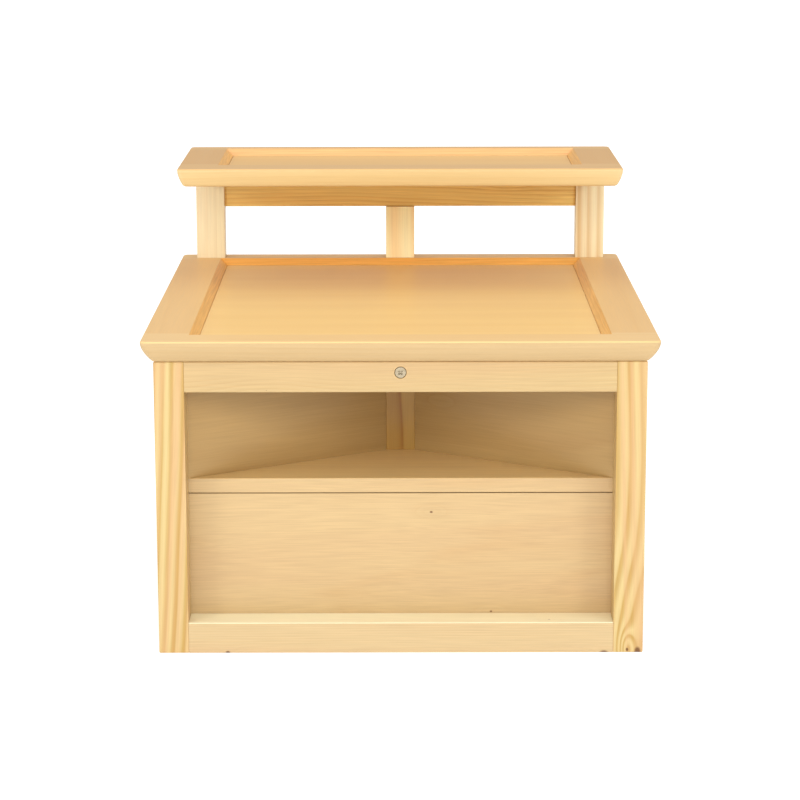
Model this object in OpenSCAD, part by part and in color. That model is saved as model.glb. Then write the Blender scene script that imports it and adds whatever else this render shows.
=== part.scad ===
// Low pine bench: a framed body with an angled front niche, a tray-topped worktop,
// and a tray shelf on three posts with an apron. Millimetres. X is right, Y is back, Z is up.
// Origin: on the floor, under the middle of the worktop.

/* [Worktop] */
// Width of the worktop
worktop_w = 680; // [560:5:900]
// Depth of the worktop
worktop_d = 720; // [600:5:900]
// Height of the worktop's top face above the floor
worktop_h = 428; // [357:1:520]
// Thickness of the worktop frame
worktop_t = 30; // [27:1:40]
// How far the worktop's edge runs in to its underside
worktop_undercut = 16; // [8:1:24]
// Flat rim at each side of the worktop's tray
worktop_side_flat = 61; // [45:1:80]
// Flat rim in front of the worktop's tray
worktop_front_flat = 50; // [40:1:80]
// Flat rim behind the worktop's tray
worktop_back_flat = 38; // [34:1:60]
// Radius of the worktop's corners in plan
worktop_corner_r = 6; // [2:1:15]

/* [Shelf] */
// Width of the shelf
shelf_w = 650; // [520:5:800]
// Depth of the shelf
shelf_d = 275; // [200:5:330]
// Height of the shelf's top face above the worktop
shelf_rise = 169; // [150:1:250]
// Thickness of the shelf frame
shelf_t = 27; // [26:1:36]
// How far the shelf's edge runs in to its underside
shelf_undercut = 9; // [5:1:12]
// Flat rim at each side of the shelf's tray
shelf_side_flat = 57; // [45:1:80]
// Flat rim in front of the shelf's tray
shelf_front_flat = 48; // [30:1:70]
// Flat rim behind the shelf's tray
shelf_back_flat = 23; // [20:1:50]
// Radius of the shelf's corners in plan
shelf_corner_r = 5; // [2:1:15]

/* [Trays] */
// Depth of both trays, and width of the bevel round them
tray_depth = 10; // [6:0.5:10]
// Thickness of the tray panels
tray_panel_t = 9; // [6:0.5:9]
// Depth of the groove that holds a tray panel
tray_tongue = 6; // [4:0.5:7]
// Height of a tray panel's raised field above its tongue
tray_lip = 1.5; // [1:0.1:2]
// Gap round a tray panel's field, at the foot of the bevel
tray_gap = 0.4; // [0.2:0.1:1]

/* [Body] */
// Width of a leg
leg_w = 40; // [33:1:55]
// Depth of a leg, and of the front rails
leg_d = 45; // [38:1:60]
// Height of the top rails
top_rail_h = 41; // [35:1:60]
// Height of the bottom rails
bottom_rail_h = 42; // [36:1:60]
// Thickness of the side and rear rails
rail_t = 22; // [19:1:30]
// Thickness of the side and back panels
panel_t = 10; // [8:1:12]
// Depth of the grooves that hold the side and back panels
groove = 8; // [5:1:8]
// Depth of the grooves that hold the bottom board
bottom_groove = 5; // [3:0.5:6]
// Thickness of the bottom board
bottom_t = 12; // [9:1:15]
// Height of the bottom board's underside above the floor
bottom_rise = 18; // [12:1:20]
// Thickness of the lower front panel
front_panel_t = 18; // [15:1:22]

/* [Niche] */
// Height of the niche, from its floor to the top rail
niche_h = 127; // [105:1:150]
// Thickness of the niche floor
niche_floor_t = 20; // [16:1:26]
// Depth from the floor's front edge to the corner post
niche_d = 165; // [110:1:230]
// Thickness of the angled niche walls
niche_wall_t = 18; // [15:1:22]
// Width of the niche's corner post
corner_post_w = 40; // [30:1:60]
// Depth of the niche's corner post
corner_post_d = 34; // [28:1:50]
// Gap between the niche floor and the lower front panel
floor_gap = 1; // [0.5:0.1:2]
// Side of the square cleats under the niche floor
cleat = 20; // [16:1:26]

/* [Posts] */
// Width of the three posts
post_w = 44; // [38:1:55]
// Depth of the three posts
post_d = 28; // [24:1:29]
// Height of the apron under the shelf
apron_h = 62; // [50:1:80]
// Thickness of the apron
apron_t = 18; // [15:1:22]
// Width of the shelf bearers
bearer_w = 22; // [18:1:30]
// Length of the shelf bearers
bearer_l = 172; // [120:1:180]
// Height of a bearer at its post
bearer_h = 26; // [20:1:28]
// Height of a bearer at its front end
bearer_tip_h = 6; // [4:1:10]

/* [Fastenings] */
// Radius of the large dowels
dowel_r = 4; // [3:0.5:5]
// Length of the large dowels
dowel_l = 40; // [30:1:44]
// Radius of the cam discs
cam_r = 7.45; // [6.5:0.05:8.5]
// Length of the cam discs
cam_l = 12.5; // [12:0.1:15]
// Distance from the top of the rail down to a cam's axis
cam_drop = 14.5; // [12:0.5:18]
// Radial running clearance round a cam
cam_clearance = 0.05; // [0.03:0.01:0.1]
// Radius of the screws' shanks
screw_r = 2; // [1.5:0.1:2.5]

/* [Hidden] */
$fn = 48;

pine = "#f0cc96";
pine_pale = "#f8d18e";
pine_warm = "#d69d55";
steel = "#b9b7ae";
beech = "#d9b07c";

over = 1;                                      // how far a cut runs past a face
arris_r = 2.5;                                 // rounding of the tray frames' top edges
edge_power = 1.7;                              // how late the undercut edge turns in
dowel_gap = 0.5;                               // space past each end of a dowel
fit_gap = 0.5;                                 // space round a loose panel's edge
groove_gap = 0.05;                             // space round a panel in its grooves
tray_dowel_r = 3.5;                            // dowels between a tray's stiles and rails
tray_dowel_spots = [0.38, 0.68];               // where they are across a stile
tray_dowel_short = 11;                         // how much shorter they are than the rail's flat

under_z = worktop_h - worktop_t;               // underside of the worktop
body_x = worktop_w / 2 - worktop_undercut;     // outer side faces of the legs
body_y = worktop_d / 2 - worktop_undercut;     // outer front and back faces of the legs
leg_x = body_x - leg_w;                        // inner side faces of the legs
leg_y = body_y - leg_d;                        // inner front and back faces of the legs
rail_x = body_x - rail_t;                      // inner faces of the side rails
rail_y = body_y - rail_t;                      // inner face of the rear rails
top_rail_z = under_z - top_rail_h;             // undersides of the top rails
panel_x = body_x - (rail_t + panel_t) / 2;     // inner faces of the side panels
panel_y = body_y - (rail_t + panel_t) / 2;     // inner face of the back panel
floor_z = top_rail_z - niche_h;                // top of the niche floor
floor_under_z = floor_z - niche_floor_t;
bottom_z = bottom_rise + bottom_t;             // top of the bottom board
corner_y = -leg_y + niche_d;                   // front face of the corner post
wall_dx = leg_x - corner_post_w / 2;           // run of an angled wall, across
wall_angle = atan(niche_d / wall_dx);

shelf_z = worktop_h + shelf_rise;              // top of the shelf
shelf_under_z = shelf_z - shelf_t;
shelf_y = (worktop_d - shelf_d) / 2;           // middle of the shelf, front to back
post_x = shelf_w / 2 - shelf_undercut - post_w / 2;
post_back_y = worktop_d / 2 - shelf_undercut;
post_y = post_back_y - post_d / 2;             // middle of the posts, front to back
apron_z = shelf_under_z - apron_h;             // underside of the apron
post_dowel_y = worktop_d / 2 - 21;             // line of the dowels in the posts' ends
post_dowel_dx = 11;                            // half the spacing of a post's two dowels
foot_dowel_down = 20;                          // how far a foot dowel runs into the worktop
head_dowel_up = 14;                            // how far a head dowel runs into the shelf

cam_wall = 1.6;                                // wall round a cam's hollow
cam_face_t = 3.5;                              // solid metal behind a cam's face
cam_slot_w = 4.4;                              // width of the slot for the bolt's neck
cam_sweep = 150;                               // how far a cam turns
cam_slot_end = 22;                             // slot beyond the neck at each end, in degrees
cam_neck_r = 1.7;
cam_head_r = 2.9;
cam_thread_r = 3;
cam_z = under_z - cam_drop;
cam_mid = cam_face_t + (cam_l - cam_face_t) / 2 - 0.3;   // bolt's distance from a cam's face
cam_sunk = 0.4;                                // how far a cam's face sits inside the rail
cross_l = 6;                                   // the cross recess in a cam's face
cross_w = 1.4;
cross_h = 2.2;
counterbore_r = 5;                             // for the heads of the worktop's screws
bearer_screw_z = 3.2;                          // how far a bearer's screws are sunk
screw_deep = 0.4;                              // how far a screw's head is sunk

/* ---- shared shapes ---- */

// A box from one corner to the opposite one.
module block(low, high) translate(low) cube(high - low);

// A rod along X, Y or Z, starting at a point.
module rod_x(p, r, l) translate(p) rotate([0, 90, 0]) cylinder(r = r, h = l);
module rod_y(p, r, l) translate(p) rotate([-90, 0, 0]) cylinder(r = r, h = l);
module rod_z(p, r, l) translate(p) cylinder(r = r, h = l);

// Left and right copies.
module both_sides() for (s = [0, 1]) mirror([s, 0, 0]) children();

// The edge of a tray frame, as [inset, height] from its top to its underside: a quarter
// round arris, then a curve that turns in faster and faster.
function edge_points(t, undercut) = concat(
    [for (i = [0:4]) [arris_r * (1 - sin(i * 22.5)), -arris_r * (1 - cos(i * 22.5))]],
    [for (i = [1:8]) [undercut * pow(i / 8, edge_power), -arris_r - (t - arris_r) * i / 8]]);

function edge_section(w, t, undercut) = let (e = edge_points(t, undercut), n = len(e)) concat(
    [for (p = e) [w / 2 - p[0], p[1]]],
    [for (i = [n - 1:-1:0]) [-w / 2 + e[i][0], e[i][1]]]);

// A rectangle with round corners, as squares and circles, so that its corners are true arcs.
module round_plan(w, d, r) {
    square([w - 2 * r, d], center = true);
    square([w, d - 2 * r], center = true);
    for (x = [-1, 1], y = [-1, 1])
        translate([x * (w / 2 - r), y * (d / 2 - r)]) circle(r = r);
}

// The outside of a tray frame, its top face at height 0.
module tray_blank(w, d, t, undercut, r) intersection() {
    rotate([90, 0, 0]) linear_extrude(height = d, center = true)
        polygon(edge_section(w, t, undercut));
    rotate([90, 0, 90]) linear_extrude(height = w, center = true)
        polygon(edge_section(d, t, undercut));
    translate([0, 0, -t]) linear_extrude(height = t) round_plan(w, d, r);
}

// The tray's hollow: two trapezium prisms crossing, which gives mitred 45 degree bevels.
module tray_hollow(w, d, side, front, back) intersection() {
    rotate([90, 0, 0]) linear_extrude(height = 2 * d, center = true) polygon([
        [-w / 2 + side - over, over], [-w / 2 + side + tray_depth, -tray_depth],
        [w / 2 - side - tray_depth, -tray_depth], [w / 2 - side + over, over]]);
    rotate([90, 0, 90]) linear_extrude(height = 2 * w, center = true) polygon([
        [-d / 2 + front - over, over], [-d / 2 + front + tray_depth, -tray_depth],
        [d / 2 - back - tray_depth, -tray_depth], [d / 2 - back + over, over]]);
}

// A sheet under the tray, wider by grow each way than the foot of its bevels.
module tray_sheet(w, d, side, front, back, top, grow) {
    x = w / 2 - side - tray_depth + grow;
    block([-x, -d / 2 + front + tray_depth - grow, -tray_depth - tray_panel_t],
          [x, d / 2 - back - tray_depth + grow, -tray_depth - top]);
}

// A tray panel: a raised field that is the tray's floor, and a tongue round it.
module tray_panel(w, d, side, front, back) {
    tray_sheet(w, d, side, front, back, 0, -tray_gap);
    tray_sheet(w, d, side, front, back, tray_lip, tray_tongue);
}

// Dowels that join a tray frame's stiles to its rails, front and back.
module tray_dowels(w, d, t, side, front, back, gap) both_sides()
    for (k = tray_dowel_spots, e = [-d / 2 + front + tray_depth, d / 2 - back - tray_depth]) {
        l = min(front, back) - tray_dowel_short;
        rod_y([w / 2 - (side + tray_depth) * k, e - l / 2 - gap, -t / 2 - 1],
              tray_dowel_r, l + 2 * gap);
    }

// One member of a tray frame: the part of the frame between two corners in plan.
module tray_member(w, d, t, undercut, r, side, front, back, low, high) difference() {
    intersection() {
        tray_blank(w, d, t, undercut, r);
        block([low[0], low[1], -t - over], [high[0], high[1], over]);
    }
    tray_hollow(w, d, side, front, back);
    tray_sheet(w, d, side, front, back, tray_lip, tray_tongue + fit_gap);
    tray_dowels(w, d, t, side, front, back, dowel_gap);
}

module worktop_member(low, high) translate([0, 0, worktop_h])
    tray_member(worktop_w, worktop_d, worktop_t, worktop_undercut, worktop_corner_r,
                worktop_side_flat, worktop_front_flat, worktop_back_flat, low, high);

module shelf_member(low, high) translate([0, shelf_y, shelf_z])
    tray_member(shelf_w, shelf_d, shelf_t, shelf_undercut, shelf_corner_r,
                shelf_side_flat, shelf_front_flat, shelf_back_flat, low, high);

// A countersunk screw whose head's top is at the origin and whose point is l up Z.
module screw(l) rotate_extrude() polygon([
    [0, 0.6], [0.8, 0.6], [0.8, 0], [2 * screw_r, 0], [2 * screw_r, screw_deep],
    [screw_r, screw_r + screw_deep], [screw_r, l - 2 * screw_r], [0, l]]);

// The hole for such a screw: a countersink and a shank hole.
module screw_hole(l) {
    head_r = 2 * screw_r + 0.1;
    translate([0, 0, -over]) cylinder(r = head_r, h = over + screw_deep);
    translate([0, 0, screw_deep])
        rotate_extrude() polygon([[0, 0], [head_r, 0], [head_r - screw_r, screw_r], [0, screw_r]]);
    cylinder(r = screw_r + 0.02, h = l + 0.2);
}

/* ---- where the fastenings are ---- */

// Pairs of dowels along X, between the front or rear rails and the legs, within a height
// that is clear of the panels' grooves.
module cross_dowels(z, clear_h, gap) both_sides()
    for (y = [-body_y + leg_d / 2, body_y - rail_t / 2], k = [0.25, 0.75])
        rod_x([leg_x - dowel_l / 2 - gap, y, z + clear_h * k], dowel_r, dowel_l + 2 * gap);

// Dowels along Y, between the side rails and the legs.
module side_dowels(z, h, gap) both_sides()
    for (s = [-1, 1])
        rod_y([body_x - rail_t / 2, s * leg_y - dowel_l / 2 - gap, z + h * 0.5],
              dowel_r, dowel_l + 2 * gap);

module top_dowels(gap) {
    cross_dowels(top_rail_z + groove, top_rail_h - groove, gap);
    side_dowels(top_rail_z, top_rail_h, gap);
}

module bottom_dowels(gap) {
    cross_dowels(0, bottom_rail_h - groove, gap);
    side_dowels(0, bottom_rail_h, gap);
}

// Upright dowels at the posts' feet and heads.
module foot_dowels(gap) for (x = [-post_x, 0, post_x], s = [-1, 1])
    rod_z([x + s * post_dowel_dx, post_dowel_y, worktop_h - foot_dowel_down - gap],
          dowel_r, dowel_l + 2 * gap);

module head_dowels(gap) {
    for (x = [-post_x, post_x], s = [-1, 1])
        rod_z([x + s * post_dowel_dx, post_dowel_y, shelf_under_z + head_dowel_up - dowel_l - gap],
              dowel_r, dowel_l + 2 * gap);
    for (s = [-1, 1])
        rod_z([s * post_dowel_dx, post_dowel_y, apron_z - dowel_l / 2 - gap],
              dowel_r, dowel_l + 2 * gap);
}

// Dowels along X at the apron's ends.
module apron_end_dowels(gap) both_sides() for (k = [0.2, 0.5])
    rod_x([post_x - post_w / 2 - dowel_l / 2 - gap, post_y, apron_z + apron_h * k],
          dowel_r - 1, dowel_l / 2 + 12 + 2 * gap);

// One dowel along Y behind each bearer.
module bearer_end_dowels(gap) both_sides()
    rod_y([post_x, post_back_y - post_d - dowel_l / 2 - gap, shelf_under_z - bearer_h * 0.55],
          dowel_r - 1, dowel_l / 2 + 18 + 2 * gap);

module at_panel_screws() both_sides() for (z = [bottom_rail_h + 20, floor_under_z - 50])
    translate([(leg_x + panel_x) / 2, -leg_y + front_panel_t, z]) rotate([90, 0, 0]) children();

module at_cleat_screws() both_sides() for (y = [-leg_y * 0.6, 0, leg_y * 0.6])
    translate([panel_x - cleat, y, floor_under_z - cleat / 2]) rotate([0, 90, 0]) children();

module at_worktop_screws() both_sides() for (y = [-leg_y * 0.5, leg_y * 0.5])
    translate([body_x - rail_t / 2, y, top_rail_z + top_rail_h / 2]) children();

module at_bearer_screws() both_sides() for (k = [0.3, 0.7])
    translate([post_x, post_back_y - post_d - bearer_l * k,
               shelf_under_z - bearer_h + (bearer_h - bearer_tip_h) * k + bearer_screw_z]) children();

panel_screw_l = front_panel_t + 22;
cleat_screw_l = cleat + panel_t * 0.6;
worktop_screw_l = top_rail_h / 2 + 14;
bearer_screw_l = 20;

/* ---- legs and rails ---- */

module side_panel_space(grow) both_sides()
    block([panel_x - grow, -leg_y - groove - grow, bottom_rail_h - groove - grow],
          [panel_x + panel_t + grow, leg_y + groove + grow, top_rail_z + groove + grow]);

module back_panel_space(grow)
    block([-leg_x - groove - grow, panel_y - grow, bottom_rail_h - groove - grow],
          [leg_x + groove + grow, panel_y + panel_t + grow, top_rail_z + groove + grow]);

module frame_cuts() {
    side_panel_space(groove_gap);
    back_panel_space(groove_gap);
    top_dowels(dowel_gap);
    bottom_dowels(dowel_gap);
    at_panel_screws() screw_hole(panel_screw_l);
    at_worktop_screws() {
        screw_hole(worktop_screw_l);
        translate([0, 0, -top_rail_h]) cylinder(r = counterbore_r, h = top_rail_h);
    }
}

module leg(x, y) color(pine_pale) difference() {
    translate([x * body_x - leg_w * (x + 1) / 2, y * body_y - leg_d * (y + 1) / 2, 0])
        cube([leg_w, leg_d, under_z]);
    frame_cuts();
}

module front_left_leg() leg(-1, -1);
module front_right_leg() leg(1, -1);
module rear_left_leg() leg(-1, 1);
module rear_right_leg() leg(1, 1);

// The blind hole for a cam in a rail's outer face, and the hole above it for the bolt.
module cam_holes(face) {
    at_cam(face) translate([0, 0, -over])
        cylinder(r = cam_r + cam_clearance, h = over + cam_sunk + cam_l + 0.3);
    at_bolt(face) cylinder(r = cam_head_r + 0.6, h = cam_drop + over);
}

module front_top_rail() color(pine) difference() {
    block([-leg_x, -body_y, top_rail_z], [leg_x, -leg_y, under_z]);
    frame_cuts();
    cam_holes(-1);
}

module rear_top_rail() color(pine) difference() {
    block([-leg_x, rail_y, top_rail_z], [leg_x, body_y, under_z]);
    frame_cuts();
    cam_holes(1);
}

module bottom_board_space(grow) difference() {
    block([-rail_x - bottom_groove - grow, -leg_y - bottom_groove - grow, bottom_rise],
          [rail_x + bottom_groove + grow, rail_y + bottom_groove + grow, bottom_z]);
    both_sides() {
        block([leg_x - fit_gap, -body_y, 0], [body_x, -leg_y + fit_gap, under_z]);
        block([leg_x - fit_gap, leg_y - fit_gap, 0], [body_x, body_y, under_z]);
    }
}

module front_bottom_rail() color(pine) difference() {
    block([-leg_x, -body_y, 0], [leg_x, -leg_y, bottom_rail_h]);
    frame_cuts();
    bottom_board_space(groove_gap);
}

module rear_bottom_rail() color(pine) difference() {
    block([-leg_x, rail_y, 0], [leg_x, body_y, bottom_rail_h]);
    frame_cuts();
    bottom_board_space(groove_gap);
}

module right_rail(z, h) color(pine) difference() {
    block([rail_x, -leg_y, z], [body_x, leg_y, z + h]);
    frame_cuts();
    bottom_board_space(groove_gap);
}

module left_top_rail() mirror([1, 0, 0]) right_rail(top_rail_z, top_rail_h);
module right_top_rail() right_rail(top_rail_z, top_rail_h);
module left_bottom_rail() mirror([1, 0, 0]) right_rail(0, bottom_rail_h);
module right_bottom_rail() right_rail(0, bottom_rail_h);

/* ---- panels ---- */

// The lower front panel stands on the bottom board, notched round the side rails.
module lower_front_panel() color(pine) difference() {
    block([-panel_x + fit_gap, -leg_y, bottom_z],
          [panel_x - fit_gap, -leg_y + front_panel_t, floor_under_z - floor_gap]);
    both_sides() block([rail_x - fit_gap, -body_y, 0], [body_x, 0, bottom_rail_h]);
    at_panel_screws() screw_hole(panel_screw_l);
}

module right_side_panel() color(pine) difference() {
    intersection() {
        side_panel_space(0);
        block([0, -body_y, 0], [body_x, body_y, under_z]);
    }
    at_cleat_screws() screw_hole(cleat_screw_l);
}

module left_side_panel() mirror([1, 0, 0]) right_side_panel();
module back_panel() color(pine) back_panel_space(0);
module bottom_board() color(pine) bottom_board_space(0);

/* ---- niche ---- */

module niche_floor() color(pine) difference() {
    block([-panel_x + fit_gap, -leg_y, floor_under_z],
          [panel_x - fit_gap, panel_y - fit_gap, floor_z]);
    both_sides() block([leg_x - fit_gap, leg_y - fit_gap, 0], [body_x, body_y, under_z]);
}

// The right wall in plan: its front face runs from the leg's inner corner to the corner
// post, and its outer end is cut to lie on the leg and the side rail.
module niche_right_wall() color(pine_warm) translate([0, 0, floor_z])
    linear_extrude(height = under_z - floor_z) difference() {
        polygon([
            [leg_x, -leg_y], [corner_post_w / 2, corner_y],
            [corner_post_w / 2, corner_y + niche_wall_t / cos(wall_angle)],
            [leg_x + niche_wall_t / sin(wall_angle), -leg_y]]);
        translate([rail_x, -leg_y - over]) square(worktop_d);
    }

module niche_left_wall() mirror([1, 0, 0]) niche_right_wall();

module niche_corner_post() color(pine_warm)
    block([-corner_post_w / 2, corner_y, floor_z],
          [corner_post_w / 2, corner_y + corner_post_d, under_z]);

module right_floor_cleat() color(pine) difference() {
    block([panel_x - cleat, -leg_y + front_panel_t, floor_under_z - cleat],
          [panel_x, leg_y, floor_under_z]);
    at_cleat_screws() screw_hole(cleat_screw_l);
}

module left_floor_cleat() mirror([1, 0, 0]) right_floor_cleat();

module rear_floor_cleat() color(pine)
    block([-leg_x, panel_y - cleat, floor_under_z - cleat], [leg_x, panel_y, floor_under_z]);

/* ---- worktop ---- */

wt_in_x = worktop_w / 2 - worktop_side_flat - tray_depth;
wt_front_y = -worktop_d / 2 + worktop_front_flat + tray_depth;
wt_back_y = worktop_d / 2 - worktop_back_flat - tray_depth;

module worktop_cuts() {
    foot_dowels(dowel_gap);
    cam_bolt_hole(-1);
    cam_bolt_hole(1);
    at_worktop_screws() screw_hole(worktop_screw_l);
}

module worktop_front_rail() color(pine) difference() {
    worktop_member([-worktop_w, -worktop_d], [worktop_w, wt_front_y]);
    worktop_cuts();
}

module worktop_back_rail() color(pine) difference() {
    worktop_member([-worktop_w, wt_back_y], [worktop_w, worktop_d]);
    worktop_cuts();
}

module worktop_right_stile() color(pine) difference() {
    worktop_member([wt_in_x, wt_front_y], [worktop_w, wt_back_y]);
    worktop_cuts();
}

module worktop_left_stile() mirror([1, 0, 0]) worktop_right_stile();

module worktop_panel() color(pine) translate([0, 0, worktop_h])
    tray_panel(worktop_w, worktop_d, worktop_side_flat, worktop_front_flat, worktop_back_flat);

/* ---- posts, apron and bearers ---- */

module post_cuts() {
    foot_dowels(dowel_gap);
    head_dowels(dowel_gap);
    apron_end_dowels(dowel_gap);
    bearer_end_dowels(dowel_gap);
}

module post(x, top) color(pine_pale) difference() {
    block([x - post_w / 2, post_back_y - post_d, worktop_h], [x + post_w / 2, post_back_y, top]);
    post_cuts();
}

module left_post() post(-post_x, shelf_under_z);
module right_post() post(post_x, shelf_under_z);
module centre_post() post(0, apron_z);

module shelf_apron() color(pine_warm) difference() {
    block([-post_x + post_w / 2, post_y - apron_t / 2, apron_z],
          [post_x - post_w / 2, post_y + apron_t / 2, shelf_under_z]);
    post_cuts();
}

// A bearer tapers from its post to its tip, its top flat under the shelf.
module right_shelf_bearer() color(pine) difference() {
    translate([post_x - bearer_w / 2, post_back_y - post_d, shelf_under_z])
        rotate([90, 0, 90]) linear_extrude(height = bearer_w)
            polygon([[0, 0], [0, -bearer_h], [-bearer_l, -bearer_tip_h], [-bearer_l, 0]]);
    post_cuts();
    bearer_cuts();
}

module bearer_cuts() at_bearer_screws() {
    screw_hole(bearer_screw_l);
    translate([0, 0, -bearer_h]) cylinder(r = 2 * screw_r + 0.5, h = bearer_h);
}

module left_shelf_bearer() mirror([1, 0, 0]) right_shelf_bearer();

/* ---- shelf ---- */

sh_in_x = shelf_w / 2 - shelf_side_flat - tray_depth;
sh_front_y = -shelf_d / 2 + shelf_front_flat + tray_depth;
sh_back_y = shelf_d / 2 - shelf_back_flat - tray_depth;

module shelf_cuts() {
    head_dowels(dowel_gap);
    at_bearer_screws() screw_hole(bearer_screw_l);
}

module shelf_front_rail() color(pine) difference() {
    shelf_member([-shelf_w, -shelf_d], [shelf_w, sh_front_y]);
    shelf_cuts();
}

module shelf_back_rail() color(pine) difference() {
    shelf_member([-shelf_w, sh_back_y], [shelf_w, shelf_d]);
    shelf_cuts();
}

module shelf_right_stile() color(pine) difference() {
    shelf_member([sh_in_x, sh_front_y], [shelf_w, sh_back_y]);
    shelf_cuts();
}

module shelf_left_stile() mirror([1, 0, 0]) shelf_right_stile();

module shelf_panel() color(pine) translate([0, shelf_y, shelf_z])
    tray_panel(shelf_w, shelf_d, shelf_side_flat, shelf_front_flat, shelf_back_flat);

/* ---- cams and their bolts ---- */

// A cam's own axes: its face at the origin, Z running into the rail and Y up.
module at_cam(face) translate([0, face * body_y, cam_z])
    rotate([90, 0, face < 0 ? 180 : 0]) children();

module at_bolt(face) translate([0, face * (body_y - cam_sunk - cam_mid), cam_z]) children();

// A zinc cam: a disc with a cross recess in its face, and a hollow body behind it with a
// slot round part of its wall, which the bolt's neck passes through as the cam turns. At the
// slot's far end a round opening lets the bolt's head out.
module cam() difference() {
    cylinder(r = cam_r, h = cam_l);
    translate([0, 0, cam_face_t]) cylinder(r = cam_r - cam_wall, h = cam_l);
    for (a = [45, 135]) rotate([0, 0, a])
        translate([-cross_l / 2, -cross_w / 2, -over]) cube([cross_l, cross_w, over + cross_h]);
    translate([0, 0, -over]) cylinder(r = cross_w, h = over + cross_h + 0.4);
    translate([0, 0, cam_mid - cam_slot_w / 2])
        rotate([0, 0, 90 - cam_slot_end]) rotate_extrude(angle = cam_sweep + 2 * cam_slot_end)
            translate([cam_r - cam_wall - over, 0]) square([cam_wall + 2 * over, cam_slot_w]);
    translate([0, 0, cam_mid]) rotate([0, 0, cam_sweep]) rotate([-90, 0, 0])
        cylinder(r = cam_head_r + 0.3, h = cam_r + over);
}

module front_cam() color(steel) at_cam(-1) translate([0, 0, cam_sunk]) cam();
module rear_cam() color(steel) at_cam(1) translate([0, 0, cam_sunk]) cam();

// The bolt: a ball head in the cam, a thin neck, a collar and a thread into the worktop.
bolt_collar_z = cam_drop - 2;
bolt_thread_l = 14;

module cam_bolt(face) color(steel) at_bolt(face) rotate_extrude() polygon([
    [0, -cam_head_r], [cam_head_r * 0.7, -cam_head_r * 0.7], [cam_head_r, 0],
    [cam_head_r * 0.7, cam_head_r * 0.7], [cam_neck_r, cam_head_r], [cam_neck_r, bolt_collar_z],
    [cam_head_r, bolt_collar_z], [cam_head_r, cam_drop], [cam_thread_r, cam_drop],
    [cam_thread_r, cam_drop + bolt_thread_l - 2], [cam_thread_r - 1.5, cam_drop + bolt_thread_l],
    [0, cam_drop + bolt_thread_l]]);

module cam_bolt_hole(face) at_bolt(face) translate([0, 0, cam_drop - over])
    cylinder(r = cam_thread_r + 0.02, h = over + bolt_thread_l + 0.5);

module front_cam_bolt() cam_bolt(-1);
module rear_cam_bolt() cam_bolt(1);

/* ---- dowels and screws ---- */

module top_frame_dowels() color(beech) top_dowels(0);
module bottom_frame_dowels() color(beech) bottom_dowels(0);
module worktop_dowels() color(beech) translate([0, 0, worktop_h])
    tray_dowels(worktop_w, worktop_d, worktop_t,
                worktop_side_flat, worktop_front_flat, worktop_back_flat, 0);
module shelf_dowels() color(beech) translate([0, shelf_y, shelf_z])
    tray_dowels(shelf_w, shelf_d, shelf_t, shelf_side_flat, shelf_front_flat, shelf_back_flat, 0);
module post_foot_dowels() color(beech) foot_dowels(0);
module post_head_dowels() color(beech) head_dowels(0);
module apron_dowels() color(beech) apron_end_dowels(0);
module bearer_dowels() color(beech) bearer_end_dowels(0);
module panel_screws() color(steel) at_panel_screws() screw(panel_screw_l);
module cleat_screws() color(steel) at_cleat_screws() screw(cleat_screw_l);
module worktop_screws() color(steel) at_worktop_screws() screw(worktop_screw_l);
module bearer_screws() color(steel) at_bearer_screws() screw(bearer_screw_l);

front_left_leg();
front_right_leg();
rear_left_leg();
rear_right_leg();
front_top_rail();
rear_top_rail();
left_top_rail();
right_top_rail();
front_bottom_rail();
rear_bottom_rail();
left_bottom_rail();
right_bottom_rail();
lower_front_panel();
left_side_panel();
right_side_panel();
back_panel();
bottom_board();
niche_floor();
niche_left_wall();
niche_right_wall();
niche_corner_post();
left_floor_cleat();
right_floor_cleat();
rear_floor_cleat();
worktop_front_rail();
worktop_back_rail();
worktop_left_stile();
worktop_right_stile();
worktop_panel();
left_post();
right_post();
centre_post();
shelf_apron();
shelf_front_rail();
shelf_back_rail();
shelf_left_stile();
shelf_right_stile();
shelf_panel();
left_shelf_bearer();
right_shelf_bearer();
front_cam();
rear_cam();
front_cam_bolt();
rear_cam_bolt();
top_frame_dowels();
bottom_frame_dowels();
worktop_dowels();
shelf_dowels();
post_foot_dowels();
post_head_dowels();
apron_dowels();
bearer_dowels();
panel_screws();
cleat_screws();
worktop_screws();
bearer_screws();
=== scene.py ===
"""Low pine bench: a framed body with an angled front niche, a tray-topped worktop and a tray
shelf on three posts. Metres, X right, Y back, Z up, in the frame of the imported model."""

import math

import bmesh
import bpy
import numpy as np
from mathutils import Matrix, Vector


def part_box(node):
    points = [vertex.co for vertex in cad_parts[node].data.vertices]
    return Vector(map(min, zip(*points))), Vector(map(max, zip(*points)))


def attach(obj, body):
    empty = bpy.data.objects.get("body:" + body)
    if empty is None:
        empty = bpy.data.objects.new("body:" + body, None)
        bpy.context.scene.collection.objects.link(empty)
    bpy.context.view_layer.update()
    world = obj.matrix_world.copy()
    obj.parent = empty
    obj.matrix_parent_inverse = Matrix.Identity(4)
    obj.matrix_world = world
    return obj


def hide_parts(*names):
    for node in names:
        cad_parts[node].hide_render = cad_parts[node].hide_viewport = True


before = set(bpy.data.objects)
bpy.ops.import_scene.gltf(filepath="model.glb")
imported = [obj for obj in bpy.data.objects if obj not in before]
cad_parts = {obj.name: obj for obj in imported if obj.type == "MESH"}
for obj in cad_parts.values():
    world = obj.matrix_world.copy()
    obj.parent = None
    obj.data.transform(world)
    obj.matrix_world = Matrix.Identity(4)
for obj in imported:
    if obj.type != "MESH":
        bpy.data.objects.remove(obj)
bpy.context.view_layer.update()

MM = 0.001
AXIS = {"x": 0, "y": 1, "z": 2}
ACROSS = {"x": (1, 2), "y": (0, 2), "z": (0, 1)}      # the two axes across each direction

# ---- surfaces ----


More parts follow.
